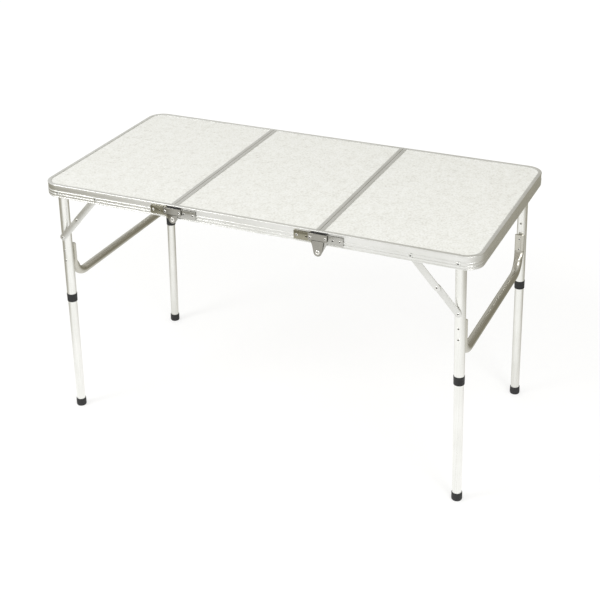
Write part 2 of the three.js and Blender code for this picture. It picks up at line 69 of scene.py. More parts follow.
RIM_LOW, RIM_HIGH = cad_box("right_end_rim")
TOP = RIM_HIGH.z
HALF_LENGTH = RIM_HIGH.x
HALF_WIDTH = RIM_HIGH.y
RAIL_DEPTH = RIM_HIGH.z - RIM_LOW.z
BOARD_LOW, BOARD_HIGH = cad_box("right_board")
MIDDLE_LOW, MIDDLE_HIGH = cad_box("middle_board")
LEG_PIVOT = pivot("right_leg_fold")
STAY_PIVOT = pivot("right_stay_fold")
KNEE = pivot("right_stay_knee")
LEG_UP = Vector(JOINTS["right_front_leg_slide"]["axis"])
SPLAY = math.atan2(-LEG_UP.x, LEG_UP.z)
LEG_Y = sum(corner.y for corner in cad_box("right_front_lower_leg")) / 2

SIDES = {"left": -1, "right": 1}
# The leaf named for each side sits on the -x side of its seam and gets the darker olive copy of the plating:
# a painted reflection of dark surroundings, not a different finish.
SHADED_COPY_LEAF = {"left": "outer_leaf", "right": "middle_leaf"}
ENDS = {"front": 1, "rear": -1}

# ---------------------------------------------------------------- sizes

# GAP is the clearance between pieces, and SINK how far a rivet is set into what it holds.
GAP = 0.2
SINK = 0.1
SEAM_X = RIM_LOW.x - GAP
CORNER_RADIUS = 45
RAIL = {"lip": 10, "lip_thickness": 1.2, "wall": 2.6, "ledge": 9, "ledge_top": 5, "ledge_bottom": 6}
SEAM_TAB = {"length": 14, "thickness": 1.5, "bottom": 31}
LEAF = {"length": 65, "top": 7, "bottom": 29, "plate": 2, "flat": 0.3, "raised": 2.6}
LEAF_STEP = {"start": 22, "end": 18}
# half_shadow_strip is half the length of the black strip behind the hinge bar, which is painted shadow.
LINK = {"layer": 4.9, "half_bar": 25, "stem": 16, "rivet": 20, "bottom": 24, "lip_top": 5.2,
        "lip": 1.5, "flange": 0.8, "half_shadow_strip": 20, "eye": 10.8}
EYE_RADIUS = 9.8
PIN = {"radius": 4, "head": 6, "bore": 2.2, "height": 1.2}
RIVETS = {"outer": (57, 38), "middle": (57, 31), "depth": 18}
LEG = {"upper": 13.3, "lower": 12.2, "wall": 0.8, "upper_end": 316, "lower_top": 296, "foot_top": 657}
NOTCH = {"depth": 10, "half_width": 4.9}
COLLAR = {"top": 311, "lip": 331.5, "bottom": 335, "radius": 14.3, "taper": 0.4, "bore": 13.5,
          "lip_bore": 12.5}
COLLAR_RING = {"heights": (0.38, 0.7), "rim": 0.05, "depth": 0.35, "half_rim": 1.2, "half_floor": 0.4}
COLLET = {"top": 316.3, "bottom": 331.2, "radius": 13.2, "bore": 12.5, "half_slit": 1.5}
FOOT = {"radius": 14.2, "top_radius": 13.8, "bore": 12.4, "floor": 6}
BAR = {"radius": 11.5, "wall": 1.2, "arm_top": 165, "depth": 267, "bend": 45,
       "squash": 6.5, "spread": 1.7, "flat_end": 210, "round_start": 236}
BAR_RIVETS = (176, 206)
BAR_PLUG = {"top": 0.5, "shoulder": 0.9, "bottom": 8, "clearance": 0.25, "ease": 0.4}
STAY = {"half_width": 9, "thickness": 2, "upper": 3.7, "lower": 7.2, "leg_rivet": 134}
STAY_RIVET = {"radius": 3, "head": 4.5, "washer": 6, "height": 0.9}
LEG_RIVET = {"radius": 4, "head": 5.5, "height": 1.4, "bush": 6}
# shaded_core is the radius of a rivet's well, which is painted near black as shade.
POP_RIVET = {"radius": 3.4, "height": 1.2, "shaded_core": 1.9}


# LAMINATE is the thickness of the board's facing. SHEET_EDGE and EDGE are how far the edges of
# sheets and of turned parts are eased.
LAMINATE = 0.8
SHEET_EDGE = 0.35
EDGE = 0.3
SHARP_ANGLE = 32

TUBE_SIDES = 56
RIVET_SIDES = 24
CORNER_STEPS = 24
BOARD_STEPS = 12
LEAF_STEPS = 5
EAR_STEPS = 14
EYE_STEPS = 20
ARM_STEPS = 4

# ---------------------------------------------------------------- shapes


class Shape:
    """Points in millimetres and faces, each with the number of its material."""

    def __init__(self):
        self.points = []
        self.faces = []
        self.paints = []

    def grid(self, rows, loop=False, ring=True, paint=0):
        """Skins rows of points. ring closes each row, loop joins the last row to the first."""
        start, count = len(self.points), len(rows[0])
        for row in rows:
            self.points += [Vector(point) for point in row]
        for i in range(len(rows) if loop else len(rows) - 1):
            near = start + i * count
            far = start + (i + 1) % len(rows) * count
            for j in range(count if ring else count - 1):
                k = (j + 1) % count
                self.face((near + j, near + k, far + k, far + j), paint)
        if not loop:
            self.face(range(start, start + count), paint)
            self.face(range(start + (len(rows) - 1) * count, start + len(rows) * count), paint)
        return self

    def face(self, corners, paint=0):
        self.faces.append(list(corners))
        self.paints.append(paint)

    def add(self, other, place=Matrix()):
        start = len(self.points)
        self.points += [place @ point for point in other.points]
        self.faces += [[start + i for i in face] for face in other.faces]
        self.paints += other.paints
        return self

    def build(self, name, materials, place=Matrix(), x=1, y=1, level=None):
        """A mesh object. x and y mirror it, and level cuts it flat at that height."""
        mesh = bpy.data.meshes.new(name)
        turn = Matrix.Diagonal((x * MM, y * MM, MM, 1)) @ place
        mesh.from_pydata([turn @ point for point in self.points], [], self.faces)
        for material in materials:
            mesh.materials.append(material)
        mesh.polygons.foreach_set("material_index", self.paints)
        work = bmesh.new()
        work.from_mesh(mesh)
        bmesh.ops.remove_doubles(work, verts=work.verts, dist=1e-7)
        if level is not None:
            cut = bmesh.ops.bisect_plane(
                work, geom=work.verts[:] + work.edges[:] + work.faces[:], dist=1e-7,
                plane_co=(0, 0, level), plane_no=(0, 0, 1), clear_inner=True)
            rim = [item for item in cut["geom_cut"] if isinstance(item, bmesh.types.BMEdge)]
            bmesh.ops.contextual_create(work, geom=rim)
        bmesh.ops.recalc_face_normals(work, faces=work.faces)
        work.to_mesh(mesh)
        work.free()
        mesh.shade_smooth()
        mesh.set_sharp_from_angle(angle=math.radians(SHARP_ANGLE))
        piece = bpy.data.objects.new(name, mesh)
        bpy.context.scene.collection.objects.link(piece)
        return piece


def rounded(outline, radius, steps=3):
    """Rounds the corners of a closed outline, by less where its sides are short."""
    points = []
    for i, corner in enumerate(outline):
        corner = Vector(corner)
        before = Vector(outline[i - 1]) - corner
        after = Vector(outline[(i + 1) % len(outline)]) - corner
        reach = min(radius, 0.45 * before.length, 0.45 * after.length)
        start = corner + before.normalized() * reach
        end = corner + after.normalized() * reach
        for step in range(steps + 1):
            t = step / steps
            points.append(start * (1 - t) ** 2 + corner * 2 * t * (1 - t) + end * t ** 2)
    return points


def inset(outline, distance):
    """Moves a closed anticlockwise outline inward."""
    moved = []
    for i, corner in enumerate(outline):
        before = (corner - outline[i - 1]).normalized()
        after = (outline[(i + 1) % len(outline)] - corner).normalized()
        inward = Vector((-before.y - after.y, before.x + after.x))
        scale = 2 / max(inward.length_squared, 0.5)
        moved.append(corner + inward * distance * scale)
    return moved


def arc(centre, radius, start, end, steps):
    angles = (math.radians(start + (end - start) * step / steps) for step in range(steps + 1))
    return [Vector((centre[0] + radius * math.cos(a), centre[1] + radius * math.sin(a)))
            for a in angles]


def plate(outline, outer, inner):
    """A sheet in the XZ plane between two distances from the rails, with its edges eased.

    Outlines are [x, z] points, and distances grow outward, towards -Y.
    """
    edge = SHEET_EDGE
    area = sum(a.x * b.y - b.x * a.y for a, b in zip(outline, outline[1:] + outline[:1]))
    if area < 0:
        outline = outline[::-1]
    ease = [(inner, edge), (inner + 0.5 * edge, 0.15 * edge), (inner + edge, 0),
            (outer - edge, 0), (outer - 0.5 * edge, 0.15 * edge), (outer, edge)]
    rows = [[(p.x, -out, p.y) for p in inset(outline, step)] for out, step in ease]
    return Shape().grid(rows)


def eased(start, end, edge=SHEET_EDGE):
    """(place, inset) pairs along a bar whose two ends are eased."""
    return [(start, edge), (start + 0.4 * edge, 0.3 * edge), (start + edge, 0),
            (end - edge, 0), (end - 0.4 * edge, 0.3 * edge), (end, edge)]


def turned(profile, paint=0):
    """Turns [radius, out] points around Y, with out towards -Y."""
    rows = []
    for side in range(RIVET_SIDES):
        angle = 2 * math.pi * side / RIVET_SIDES
        rows.append([(r * math.cos(angle), -out, r * math.sin(angle)) for r, out in profile])
    return Shape().grid(rows, loop=True, ring=False, paint=paint)


def turned_about_leg(profile):
    """Turns a closed profile of [radius, distance down the leg] points around Z."""
    rows = []
    for side in range(TUBE_SIDES):
        angle = 2 * math.pi * side / TUBE_SIDES
        rows.append([(r * math.cos(angle), r * math.sin(angle), -down) for r, down in profile])
    return Shape().grid(rows, loop=True)


def pop_rivet(radius=POP_RIVET["radius"], height=POP_RIVET["height"], head_paint=0):
    """A low domed head on out = 0 with the stub of its mandrel sunk in the middle, its well painted near
    black as shade.
    """
    shaded_core = POP_RIVET["shaded_core"]
    head = [(0, -0.3), (0.9 * radius, -0.3), (radius, 0), (radius, 0.15 * height),
            (0.93 * radius, 0.45 * height), (0.78 * radius, 0.78 * height),
            (0.6 * radius, 0.97 * height), (shaded_core + 0.25, height), (shaded_core, 0.85 * height)]
    # The well takes material 1, a near-black paint that is painted shade in the recess.
    well = [(shaded_core, 0.85 * height), (shaded_core, 0.2 * height), (0.5 * shaded_core, 0.24 * height),
            (0, 0.26 * height)]
    return turned(head, paint=head_paint).add(turned(well, paint=1))


def at(x, out, z):
    return Matrix.Translation((x, -out, z))


def leg_frame():
    return Matrix.Translation(LEG_PIVOT) @ Matrix.Rotation(-SPLAY, 4, "Y")


# ---------------------------------------------------------------- table top


def rail_section():
    """The deep rail: [inset, depth] points around its section."""
    groove, band = 1.5, 0.9
    lip, lip_thickness, wall = RAIL["lip"], RAIL["lip_thickness"], RAIL["wall"]
    ledge, ledge_top, ledge_bottom = RAIL["ledge"], RAIL["ledge_top"], RAIL["ledge_bottom"]
    outer = [(lip, 0), (1, 0), (0.2, 0.9), (0.2, 2.6), (band, 3.4), (band, 15.2)]
    for top, bottom in ((17.4, 23.4), (25.6, 30.6)):
        outer += [(groove, top - 0.7), (0, top + 0.3), (0, bottom - 0.3), (groove, bottom + 0.7)]
    outer += [(groove, 32), (0, 33), (0.6, RAIL_DEPTH), (3.3, RAIL_DEPTH), (3.3, 33)]
    inner = [(wall, 32), (wall, ledge_bottom), (ledge, ledge_bottom), (ledge, ledge_top),
             (wall, ledge_top), (wall, lip_thickness), (lip, lip_thickness)]
    return rounded(outer + inner, 0.5)


def seam_section():
    """The shallow rail: [inset, depth] points around its section."""
    lip, lip_thickness, wall = RAIL["lip"], RAIL["lip_thickness"], RAIL["wall"]
    ledge, ledge_top, ledge_bottom = RAIL["ledge"], RAIL["ledge_top"], RAIL["ledge_bottom"]
    return rounded([
        (lip, 0), (0.8, 0), (0, 0.8), (0, ledge_bottom), (ledge, ledge_bottom),
        (ledge, ledge_top), (wall, ledge_top), (wall, lip_thickness), (lip, lip_thickness)], 0.4)


def rail_row(section, x, y, out):
    """A rail's section at a point of its path, with its outer face towards out."""
    return [(x - out[0] * p.x, y - out[1] * p.x, TOP - p.y) for p in section]


def end_rim():
    """The deep rail bent round three sides of an end panel."""
    section = rail_section()
    rows = [rail_row(section, RIM_LOW.x, -HALF_WIDTH, (0, -1))]
    centre = Vector((HALF_LENGTH - CORNER_RADIUS, HALF_WIDTH - CORNER_RADIUS))
    for side, start in ((-1, -90), (1, 0)):
        for step in range(CORNER_STEPS + 1):
            angle = math.radians(start + 90 * step / CORNER_STEPS)
            out = (math.cos(angle), math.sin(angle))
            rows.append(rail_row(section, centre.x + CORNER_RADIUS * out[0],
                                 side * centre.y + CORNER_RADIUS * out[1], out))
    rows.append(rail_row(section, RIM_LOW.x, HALF_WIDTH, (0, 1)))
    return Shape().grid(rows)


def middle_rail():
    """The straight length of the deep rail between the seams."""
    section = rail_section()
    ends = (-RIM_LOW.x + 2 * GAP, SEAM_X - GAP)
    return Shape().grid([rail_row(section, x, -HALF_WIDTH, (0, -1)) for x in ends])


def seam_rail():
    """The shallow rail at a panel's seam edge, with a bent tab at each end."""
    half = HALF_WIDTH - RAIL["lip"] - 1.5 * GAP
    section = seam_section()
    shape = Shape().grid([rail_row(section, RIM_LOW.x, y, (-1, 0)) for y in (-half, half)])
    outer = HALF_WIDTH - RAIL["wall"] - 1.5 * GAP
    under, bottom, thick = RAIL["ledge_bottom"], SEAM_TAB["bottom"], SEAM_TAB["thickness"]
    strap = rounded([Vector(p) for p in (
        (half - 4, under), (outer - thick, under), (outer, under + 0.7), (outer, bottom),
        (outer - thick, bottom), (outer - thick, under + 1.2), (half - 4, under + 1.2))], 0.5)
    for side in (-1, 1):
        rows = [[(RIM_LOW.x + x, side * p.x, TOP - p.y) for p in strap]
                for x in (0, SEAM_TAB["length"])]
        shape.grid(rows)
    return shape


def board(low, high, corner):
    """A laminated board. Material 1 is its backing."""
    if corner:
        outline = arc((high.x - corner, low.y + corner), corner, -90, 0, BOARD_STEPS)
        outline += arc((high.x - corner, high.y - corner), corner, 0, 90, BOARD_STEPS)
    else:
        outline = [Vector((high.x, low.y)), Vector((high.x, high.y))]
    outline += [Vector((low.x, high.y)), Vector((low.x, low.y))]
    heights = (high.z, high.z - LAMINATE, low.z)
    shape = Shape().grid([[(p.x, p.y, z) for p in outline] for z in heights])
    laminate_edge, backing_edge, top, underside = [0], [1], [0], [1]
    sides = len(outline)
    shape.paints = laminate_edge * sides + backing_edge * sides + top + underside
    return shape


# ---------------------------------------------------------------- seam hinges

# Hinge parts are drawn with x = 0 at the seam, the rails' outer face at out = 0 and z = 0
# at the table top.


def ear_outline(left, right, base, radius, depth, steps=EAR_STEPS):
    """A tapered ear that hangs from a base line to a round end at the pivot."""
    def tangent(x):
        offset = Vector((x, depth - base))
        return math.atan2(offset.y, offset.x), math.acos(min(1, radius / offset.length))
    right_angle, right_turn = tangent(right)
    left_angle, left_turn = tangent(left)
    start = math.degrees(right_angle - right_turn)
    end = math.degrees(left_angle + left_turn) - 360
    return arc((0, -depth), radius, start, end, steps)


def hinge_pin_depth(side):
    """How far below the table top the hinges of a side turn."""
    return TOP - pivot(f"{side}_link_fold").z


def leaf_rivets(shape, places, direction):
    """A bright rivet at the end of the leaf and a plated one nearer the seam."""
    face = LEAF["flat"] + LEAF["plate"]
    for x, head_paint in zip(places, (2, 0)):
        shape.add(pop_rivet(head_paint=head_paint), at(direction * x, face, -RIVETS["depth"]))
    return shape


def outer_leaf(depth):
    """The flat leaf on an end panel, with its ear down to the pin."""
    length, top, bottom, inner = LEAF["length"], LEAF["top"], LEAF["bottom"], LEAF["flat"]
    corner, ear_end = 2.5, 24
    outline = [Vector((2 * GAP, -top))]
    outline += arc((length - corner, -top - corner), corner, 90, 0, LEAF_STEPS)
    outline += arc((length - corner, -bottom + corner), corner, 0, -90, LEAF_STEPS)
    outline += [Vector((ear_end, -bottom))]
    outline += ear_outline(2 * GAP, ear_end, bottom, EYE_RADIUS, depth)
    return leaf_rivets(plate(outline, inner + LEAF["plate"], inner), RIVETS["outer"], 1)


def middle_leaf(depth):
    """The leaf on the middle panel, joggled out over the outer leaf's ear."""
    length, top, bottom, thick = LEAF["length"], LEAF["top"], LEAF["bottom"], LEAF["plate"]
    flat, raised = LEAF["flat"], LEAF["raised"]
    start, end = LEAF_STEP["start"], LEAF_STEP["end"]
    strip = rounded([Vector(p) for p in (
        (-length, flat), (-start, flat), (-end, raised), (-2 * GAP, raised),
        (-2 * GAP, raised + thick), (-end - 1, raised + thick), (-start - 1, flat + thick),
        (-length, flat + thick))], 1.2, 4)
    rows = [[(p.x, -p.y, -down) for p in inset(strip, step)] for down, step in eased(top, bottom)]
    shape = Shape().grid(rows)
    outline = [Vector((-end, -bottom + 2)), Vector((-end, -bottom))]
    outline += ear_outline(-end, -2 * GAP, bottom, EYE_RADIUS, depth)[::-1]
    outline += [Vector((-2 * GAP, -bottom + 2))]
    shape.add(plate(outline, raised + thick, raised))
    return leaf_rivets(shape, RIVETS["middle"], -1)


def hinge_link(depth):
    """The T over the leaves: a bar with a rolled top edge, a stem and its pin, and a black strip behind the
    bar's top edge that is painted shadow in the gap above the bar.
    """
    layer, inner = LINK["layer"], LEAF["flat"] + 1.5 * GAP
    half, stem, bottom, lip_top = LINK["half_bar"], LINK["stem"], LINK["bottom"], LINK["lip_top"]
    face = layer + LEAF["plate"]
    edge = face + LINK["flange"]
    lip_bottom = lip_top + LINK["lip"]
    bar = rounded([Vector(p) for p in (
        (layer, lip_top), (edge, lip_top), (edge, lip_bottom - 0.3), (face, lip_bottom + 0.7),
        (face, bottom), (layer, bottom))], 0.6, 4)
    rows = [[(x, -p.x, -p.y) for p in inset(bar, step)] for x, step in eased(-half, half)]
    shape = Shape().grid(rows)
    # A black strip of material 1 behind the bar's top edge: painted shadow, standing for the shade in the
    # gap between the bar and the rail.
    shadow_strip = rounded([Vector(p) for p in (
        (inner, lip_top), (layer + 0.3, lip_top), (layer + 0.3, lip_bottom), (inner, lip_bottom))], 0.3)
    shadow_strip_ends = eased(-LINK["half_shadow_strip"], LINK["half_shadow_strip"], 0.2)
    shape.grid([[(x, -p.x, -p.y) for p in inset(shadow_strip, step)] for x, step in shadow_strip_ends], paint=1)
    outline = [Vector((-stem, -bottom + 2)), Vector((-stem, -bottom))]
    outline += ear_outline(-stem, stem, bottom, LINK["eye"], depth, EYE_STEPS)[::-1]
    outline += [Vector((stem, -bottom)), Vector((stem, -bottom + 2))]
    shape.add(plate(outline, face, layer))
    shape.add(eyelet(LEAF["flat"] + GAP, face), at(0, 0, -depth))
    for side in (-1, 1):
        place = at(side * LINK["rivet"], face, -(LEAF["top"] - 1.5 * GAP + bottom) / 2)
        shape.add(pop_rivet(head_paint=2), place)
    return shape


def eyelet(inner, face):
    """The hollow pin of the hinge, rolled over at its outer end."""
    head, bore, height, radius = PIN["head"], PIN["bore"], PIN["height"], PIN["radius"]
    floor = face - 1
    rim = turned([
        (0, inner), (radius, inner), (radius, face - 0.2), (head, face - 0.2),
        (head, face + 0.15 * height), (0.94 * head, face + 0.6 * height), (0.8 * head, face + 0.92 * height),
        (0.62 * head, face + height), (bore + 0.5, face + 0.9 * height), (bore, face + 0.5 * height)],
        paint=2)
    # The bore takes material 1, a near-black paint that is painted shade in the hollow.
    return rim.add(turned([(bore, face + 0.5 * height), (bore, floor), (0, floor)], paint=1))


# ---------------------------------------------------------------- legs

# Leg parts hang from the leg's pivot down -Z, with out = 0 on the leg's own axis.


def upper_leg():
    """A tube with its top rounded over the pivot, and the rivets that show on it."""
    outer, bore, end = LEG["upper"], LEG["upper"] - LEG["wall"], LEG["upper_end"]
    rows = []
    for side in range(TUBE_SIDES):
        angle = 2 * math.pi * side / TUBE_SIDES
        across, out = math.cos(angle), math.sin(angle)
        crown = math.sqrt(max(0, outer ** 2 - (outer * across) ** 2))
        ridge = math.sqrt(max(0, outer ** 2 - (bore * across) ** 2))
        profile = [(bore, ridge), (outer - EDGE, crown), (outer, crown - EDGE), (outer, -end + EDGE),
                   (outer - EDGE, -end), (bore, -end)]
        rows.append([(r * across, r * out, z) for r, z in profile])
    shape = Shape().grid(rows, loop=True)
    for down in BAR_RIVETS:
        shape.add(pop_rivet(head_paint=2), at(0, outer - SINK, -down))
    inward = Matrix.Rotation(math.pi, 4, "Z")
    shape.add(pop_rivet(head_paint=2), at(0, -outer + SINK, -STAY["leg_rivet"]) @ inward)
    return shape


def lower_leg():
    """The sliding tube, with a notch at the front and back of its top end."""
    outer, bore = LEG["lower"], LEG["lower"] - LEG["wall"]
    bottom = LEG_PIVOT.z / math.cos(SPLAY) - FOOT["floor"]
    rows = []
    for side in range(TUBE_SIDES):
        angle = 2 * math.pi * side / TUBE_SIDES
        across, out = math.cos(angle), math.sin(angle)
        notched = abs(outer * across) < NOTCH["half_width"]
        top = LEG["lower_top"] + (NOTCH["depth"] if notched else 0)
        profile = [(bore, -top), (outer - EDGE, -top), (outer, -top - EDGE), (outer, -bottom),
                   (bore, -bottom)]
        rows.append([(r * across, r * out, z) for r, z in profile])
    return Shape().grid(rows, loop=True)


def collar():
    """The twist collar: slightly wider at its top edge, with two faint rings."""
    top, lip, bottom, radius = COLLAR["top"], COLLAR["lip"], COLLAR["bottom"], COLLAR["radius"]
    rim, depth = COLLAR_RING["rim"], COLLAR_RING["depth"]
    half_rim, half_floor = COLLAR_RING["half_rim"], COLLAR_RING["half_floor"]
    outline = [(COLLAR["bore"], top), (radius - EDGE, top), (radius, top + 0.7), (radius - rim, top + 2.4)]
    for share in COLLAR_RING["heights"]:
        down = top + share * (bottom - top)
        side = radius - COLLAR["taper"] * share
        outline += [(side - rim, down - half_rim), (side - depth, down - half_floor),
                    (side - depth, down + half_floor), (side - rim, down + half_rim)]
    side = radius - COLLAR["taper"]
    outline += [(side, bottom - 1), (side - 0.7, bottom), (COLLAR["lip_bore"], bottom),
                (COLLAR["lip_bore"], lip), (COLLAR["bore"], lip)]
    return turned_about_leg(rounded([Vector(p) for p in outline], 0.5))


def collet():
    """The split ring inside the collar."""
    radius, bore, top, bottom = COLLET["radius"], COLLET["bore"], COLLET["top"], COLLET["bottom"]
    slit = math.asin(COLLET["half_slit"] / radius)
    rows = []
    for step in range(TUBE_SIDES + 1):
        angle = slit + (2 * math.pi - 2 * slit) * step / TUBE_SIDES
        rows.append([(r * math.cos(angle), r * math.sin(angle), -down) for r, down in
                     ((bore, top), (radius - EDGE, top), (radius, top + EDGE),
                      (radius, bottom - EDGE), (radius - EDGE, bottom), (bore, bottom))])
    return Shape().grid(rows)


def foot():
    """A cup on the end of the tube. It reaches below the floor and is cut level with it."""
    end = LEG_PIVOT.z / math.cos(SPLAY)
    inside, below = end - FOOT["floor"] + GAP, end + 2
    top, top_radius = LEG["foot_top"], FOOT["top_radius"]
    radius, bore = FOOT["radius"], FOOT["bore"]
    outline = [(bore, top), (top_radius - 0.5, top), (top_radius, top + 0.7), (top_radius + 0.1, top + 4),
               (radius, end - 10), (radius, end - 3.5), (radius - 0.4, end - 1.5),
               (radius - 1.5, end + 0.4), (radius - 1.6, below), (0, below), (0, inside), (bore, inside)]
    return turned_about_leg(rounded([Vector(p) for p in outline], 0.5))


def cross_bar():
    """A tube bent into a U, its arms pressed flat on the legs and plugged just inside their ends."""
    radius, bend, depth = BAR["radius"], BAR["bend"], BAR["depth"]
    squash, spread = BAR["squash"], BAR["spread"]
    flat_end, round_start = BAR["flat_end"], BAR["round_start"]
    arm = -LEG_Y - LEG["upper"] - 1.5 * GAP - radius
    straight = [BAR["arm_top"]]
    straight += [flat_end + step * (depth - bend - flat_end) / ARM_STEPS for step in range(ARM_STEPS)]
    stations = [(-arm, down, 0) for down in straight]
    for side in (-1, 1):
        for step in range(CORNER_STEPS + 1):
            angle = 90 * step / CORNER_STEPS + (0 if side < 0 else 90)
            turn = math.radians(angle)
            stations.append((side * (arm - bend) - bend * math.cos(turn),
                             depth - bend + bend * math.sin(turn), angle))
    stations += [(arm, down, 180) for down in reversed(straight)]

    def row(y, down, angle, rod):
        turn = math.radians(angle)
        share = min(1, max(0, (round_start - down) / (round_start - flat_end)))
        flat = share * share * (3 - 2 * share)
        outward = Vector((0, -math.cos(turn), -math.sin(turn)))
        centre = Vector((0, y, -down)) + squash * flat * outward
        half_width, half_thickness = rod + spread * flat, rod - squash * flat
        circle = (2 * math.pi * i / TUBE_SIDES for i in range(TUBE_SIDES))
        return [centre + Vector((half_width * math.sin(a), 0, 0)) + outward * half_thickness * math.cos(a)
                for a in circle]

    outside = [row(*station, radius) for station in stations]
    inside = [row(*station, radius - BAR["wall"]) for station in stations]
    shape = Shape().grid(outside + inside[::-1], loop=True)
    for station in (stations[0], stations[-1]):
        y, down, angle = station
        plug = radius - BAR["wall"] - BAR_PLUG["clearance"]
        shape.grid([row(y, down + BAR_PLUG["bottom"], angle, plug),
                    row(y, down + BAR_PLUG["shoulder"], angle, plug),
                    row(y, down + BAR_PLUG["top"], angle, plug - BAR_PLUG["ease"])])
    for down in BAR_RIVETS:
        for side in (-1, 1):
            place = Matrix.Translation((0, side * (arm - radius + 2 * squash + SINK), -down))
            turn = Matrix.Rotation(0 if side > 0 else math.pi, 4, "Z")
            shape.add(pop_rivet(head_paint=2), place @ turn)
    return shape


# ---------------------------------------------------------------- stays


def stay_bar(length, layer):
    """A flat bar between two rivets, with its outer side a layer in from the rail's face."""
    half = STAY["half_width"]
    outline = arc((0, 0), half, 90, 270, EAR_STEPS) + arc((length, 0), half, -90, 90, EAR_STEPS)
    return plate(outline, -layer, -layer - STAY["thickness"])


def stud(radius, layer_from, layer_to):
    """A short round boss between two layers."""
    near, far = -layer_from, -layer_to
    return turned([(0, near), (radius - EDGE, near), (radius, near - EDGE), (radius, far + EDGE),
                   (radius - EDGE, far), (0, far)])


def upper_stay(length):
    """The link from the rail, with the rivet it turns on and the rivet of the knee."""
    upper, lower, thick = STAY["upper"], STAY["lower"], STAY["thickness"]
    radius, head, washer = STAY_RIVET["radius"], STAY_RIVET["head"], STAY_RIVET["washer"]
    height = STAY_RIVET["height"]
    shape = stay_bar(length, upper)
    shape.add(pop_rivet(head, height, 2), at(length, -upper, 0))
    shape.add(stud(washer, upper + thick - SINK, lower - GAP), at(length, 0, 0))
    shape.add(stud(radius, upper + thick - SINK, lower + thick + GAP + SINK), at(length, 0, 0))
    shape.add(stud(head, lower + thick + GAP, lower + thick + GAP + height), at(length, 0, 0))
    shape.add(pop_rivet(LEG_RIVET["head"], height), at(0, SINK, 0))
    shape.add(stud(radius, -2 * SINK, upper + SINK), at(0, 0, 0))
    shape.add(stud(washer, RAIL["wall"] + GAP, upper + SINK), at(0, 0, 0))
    return shape


def lower_stay(length):
    """The link to the leg. Its rivet stops just short of the tube."""
    lower, thick = STAY["lower"], STAY["thickness"]
    leg_face = HALF_WIDTH + LEG_Y - LEG["upper"]
    shape = stay_bar(length, lower)
    shape.add(pop_rivet(head_paint=2), at(length, -lower, 0))
    shape.add(stud(STAY_RIVET["head"], lower + thick - SINK, leg_face - 2 * GAP), at(length, 0, 0))
    return shape


def leg_rivet():
    """The rivet that a leg turns on, with the bush between rail and leg."""
    radius, head = LEG_RIVET["radius"], LEG_RIVET["head"]
    height, bush = LEG_RIVET["height"], LEG_RIVET["bush"]
    leg_outer = HALF_WIDTH + LEG_Y - LEG["upper"]
    leg_inner = leg_outer + 2 * LEG["upper"]
    wall = RAIL["wall"] + GAP
    shape = turned([(0, -SINK), (radius, -SINK), (radius, -wall), (bush - EDGE, -wall),
                    (bush, -wall - EDGE), (bush, -leg_outer + GAP + EDGE), (bush - EDGE, -leg_outer + GAP),
                    (radius, -leg_outer + GAP), (radius, -leg_inner - GAP), (head, -leg_inner - GAP),
                    (head, -leg_inner - 0.6 * height), (0.8 * head, -leg_inner - 0.9 * height),
                    (0.5 * head, -leg_inner - height), (0, -leg_inner - height)])
    return shape.add(pop_rivet(head, height))


# ---------------------------------------------------------------- materials


EVEN = (1, 1, 1)
WHITE = (1, 1, 1)
NOISE_SPAN = (0.3, 0.7)


def shader(name, **values):
    """A material and its surface shader, with values for the sockets of that name."""
    material = bpy.data.materials.new(name)
    material.use_nodes = True
    surface = material.node_tree.nodes["Principled BSDF"]
    for socket, value in values.items():
        surface.inputs[socket.replace("_", " ")].default_value = value
    return material, surface


def noise(material, scale, stretch, detail, roughness):
    """A noise texture fixed to the piece, in cycles a metre, with its pattern stretched."""
    nodes, links = material.node_tree.nodes, material.node_tree.links
    place = nodes.new("ShaderNodeTexCoord")
    mapping = nodes.new("ShaderNodeMapping")
    mapping.inputs["Scale"].default_value = stretch
    texture = nodes.new("ShaderNodeTexNoise")
    texture.inputs["Scale"].default_value = scale
    texture.inputs["Detail"].default_value = detail
    texture.inputs["Roughness"].default_value = roughness
    links.new(place.outputs["Object"], mapping.inputs["Vector"])
    links.new(mapping.outputs["Vector"], texture.inputs["Vector"])
    return texture.outputs["Fac"]


def ramp(material, source, stops):
    """A colour ramp over a number, as (position, colour) stops. It also works on the world."""
    node = material.node_tree.nodes.new("ShaderNodeValToRGB")
    node.color_ramp.elements.remove(node.color_ramp.elements[1])
    node.color_ramp.elements[0].position = stops[0][0]
    node.color_ramp.elements[0].color = (*stops[0][1], 1)
    for position, colour in stops[1:]:
        node.color_ramp.elements.new(position).color = (*colour, 1)
    material.node_tree.links.new(source, node.inputs["Fac"])
    return node.outputs["Color"]


def map_range(material, source, before, after, interpolation="LINEAR"):
    """Maps a number from one (start, end) pair to another, and keeps it between them."""
    node = material.node_tree.nodes.new("ShaderNodeMapRange")
    node.interpolation_type = interpolation
    for socket, value in zip(("From Min", "From Max", "To Min", "To Max"), (*before, *after)):
        node.inputs[socket].default_value = value
    material.node_tree.links.new(source, node.inputs["Value"])
    return node.outputs["Result"]


def falloff(material, source, span):
    """1 up to the start of the span, 0 past its end, and a soft step between."""
    return map_range(material, source, span, (1, 0), "SMOOTHSTEP")


def spread(material, source, low, high):
    """Maps a noise to a range of numbers."""
    return map_range(material, source, NOISE_SPAN, (low, high))


def multiply(material, first, second):
    """Multiplies two colours."""
    node = material.node_tree.nodes.new("ShaderNodeMix")
    node.data_type = "RGBA"
    node.blend_type = "MULTIPLY"
    node.inputs["Factor"].default_value = 1
    material.node_tree.links.new(first, node.inputs["A"])
    material.node_tree.links.new(second, node.inputs["B"])
    return node.outputs["Result"]


